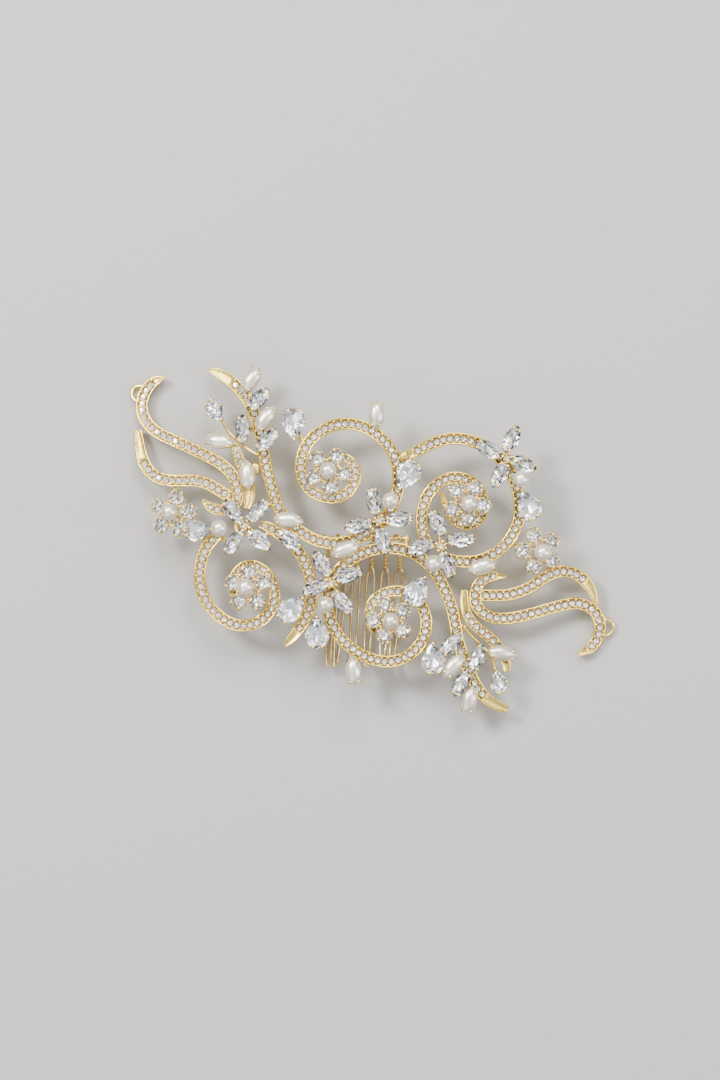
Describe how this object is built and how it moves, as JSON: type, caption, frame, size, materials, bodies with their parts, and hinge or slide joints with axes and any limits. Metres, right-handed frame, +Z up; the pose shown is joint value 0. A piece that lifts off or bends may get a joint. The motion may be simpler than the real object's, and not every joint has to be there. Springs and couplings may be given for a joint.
{
  "type": "decorative hair comb",
  "caption": "Bowed openwork scroll ornament in gilt channel bands set with crystals and pearls, soldered over a twisted-wire hair comb.",
  "frame": {"origin": "centre of the ornament's footprint, on the surface that the tines' bellies and the two ribbon hooks rest on", "axes": "+X along the ornament towards the right-hand ribbons, +Y away from the tine tips, +Z up out of the jewelled face"},
  "size_m": [0.1345, 0.0961, 0.0193],
  "materials": {
    "gold": "polished pale gold plate",
    "comb_wire": "satin pale gold plate",
    "crystal": "faceted clear crystal",
    "pave_crystal": "faceted clear crystal",
    "pearl": "lustrous imitation pearl"
  },
  "bodies": {
    "root": {"ribbon_left_long": "gold", "ribbon_left_short": "gold", "strap_left": "gold", "stem_left": "gold", "branch_left": "gold", "scroll_lower_left": "gold", "stem_right": "gold", "scroll_upper_right": "gold", "arc_upper_right": "gold", "ribbon_right_long": "gold", "ribbon_right_short": "gold", "strap_right": "gold", "pave_ribbon_left_long": "pave_crystal", "pave_ribbon_left_short": "pave_crystal", "pave_strap_left": "pave_crystal", "pave_stem_left": "pave_crystal", "pave_branch_left": "pave_crystal", "pave_scroll_lower_left": "pave_crystal", "pave_stem_right": "pave_crystal", "pave_scroll_upper_right": "pave_crystal", "pave_arc_upper_right": "pave_crystal", "pave_ribbon_right_long": "pave_crystal", "pave_ribbon_right_short": "pave_crystal", "pave_strap_right": "pave_crystal", "rosette_1_setting": "gold", "rosette_2_setting": "gold", "rosette_3_setting": "gold", "rosette_4_setting": "gold", "rosette_5_setting": "gold", "rosette_6_setting": "gold", "rosette_1_stones": "crystal", "rosette_2_stones": "crystal", "rosette_3_stones": "crystal", "rosette_4_stones": "crystal", "rosette_5_stones": "crystal", "rosette_6_stones": "crystal", "flower_1_setting": "gold", "flower_2_setting": "gold", "flower_3_setting": "gold", "flower_4_setting": "gold", "flower_5_setting": "gold", "flower_1_petals": "crystal", "flower_2_petals": "crystal", "flower_3_petals": "crystal", "flower_4_petals": "crystal", "flower_5_petals": "crystal", "round_pearls": "pearl", "navette_settings": "gold", "navette_pearls": "pearl", "pear_settings": "gold", "pear_stones": "crystal", "sprig_settings": "gold", "sprig_stones": "crystal", "sprig_wires": "gold", "bridge_plates": "gold", "end_loops": "gold", "comb_spine": "comb_wire", "comb_posts": "comb_wire", "comb_wrap": "comb_wire", "comb_tines": "comb_wire"}
  },
  "joints": []
}
